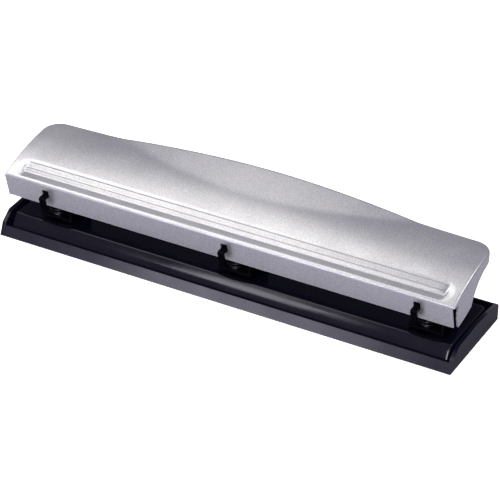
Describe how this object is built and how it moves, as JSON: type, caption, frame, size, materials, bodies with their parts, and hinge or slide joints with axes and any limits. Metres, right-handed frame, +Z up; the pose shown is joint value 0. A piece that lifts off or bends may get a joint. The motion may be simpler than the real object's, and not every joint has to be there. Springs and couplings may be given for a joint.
{
  "type": "three hole punch",
  "caption": "Desktop paper punch: long pressed steel lever hinged on the tongues of its punching heads, over a low base with a drop-down chip tray.",
  "frame": {"origin": "on the table under the middle of the punch's bounding box", "axes": "+X along the length to the right end as seen from the front, +Y from the hooked front edge to the pressed rear edge, +Z up"},
  "size_m": [0.2648, 0.0584, 0.0492],
  "materials": {
    "silver_paint": "satin metallic silver paint",
    "black_paint": "gloss black enamel",
    "black_steel": "gloss black plated steel",
    "black_plastic": "polished moulded black plastic",
    "hard_steel": "ground tool steel",
    "spring_steel": "drawn spring wire",
    "zinc_steel": "bright zinc plate",
    "rubber": "matte"
  },
  "bodies": {
    "base": {"base_frame": "black_paint", "punch_bracket_left": "black_steel", "punch_bracket_centre": "black_steel", "punch_bracket_right": "black_steel", "die_plate_left": "black_steel", "die_plate_centre": "black_steel", "die_plate_right": "black_steel", "rivet_left_1": "zinc_steel", "rivet_left_2": "zinc_steel", "rivet_centre_1": "zinc_steel", "rivet_centre_2": "zinc_steel", "rivet_right_1": "zinc_steel", "rivet_right_2": "zinc_steel", "return_spring_left": "spring_steel", "return_spring_centre": "spring_steel", "return_spring_right": "spring_steel", "tray_hinge_pin_left": "black_steel", "tray_hinge_pin_right": "black_steel"},
    "lever": {"lever_cover": "silver_paint", "pressure_bar": "zinc_steel"},
    "punch_left": {"punch_pin_left": "hard_steel", "retaining_clip_left": "spring_steel"},
    "punch_centre": {"punch_pin_centre": "hard_steel", "retaining_clip_centre": "spring_steel"},
    "punch_right": {"punch_pin_right": "hard_steel", "retaining_clip_right": "spring_steel"},
    "tray": {"chip_tray": "black_plastic", "foot_front_left": "rubber", "foot_front_right": "rubber", "foot_rear_left": "rubber", "foot_rear_right": "rubber"}
  },
  "joints": [
    {"name": "lever_hinge", "type": "hinge", "parent": "base", "child": "lever", "pos_m": [0, -0.02205, 0.028], "axis": [-1, 0, 0], "range_deg": [0, 24]},
    {"name": "punch_left_slide", "type": "slide", "parent": "base", "child": "punch_left", "axis": [0, 0, -1], "range_m": [0, 0.003], "deforming": ["return_spring_left"]},
    {"name": "punch_centre_slide", "type": "slide", "parent": "base", "child": "punch_centre", "axis": [0, 0, -1], "range_m": [0, 0.003], "deforming": ["return_spring_centre"]},
    {"name": "punch_right_slide", "type": "slide", "parent": "base", "child": "punch_right", "axis": [0, 0, -1], "range_m": [0, 0.003], "deforming": ["return_spring_right"]},
    {"name": "tray_hinge", "type": "hinge", "parent": "base", "child": "tray", "pos_m": [0, 0.02275, 0.0074], "axis": [1, 0, 0], "range_deg": [0, 50]}
  ],
  "couplings": [
    {"joint": "punch_left_slide", "follows": "lever_hinge", "m_per_rad": 0.00709},
    {"joint": "punch_centre_slide", "follows": "lever_hinge", "m_per_rad": 0.00709},
    {"joint": "punch_right_slide", "follows": "lever_hinge", "m_per_rad": 0.00709}
  ]
}
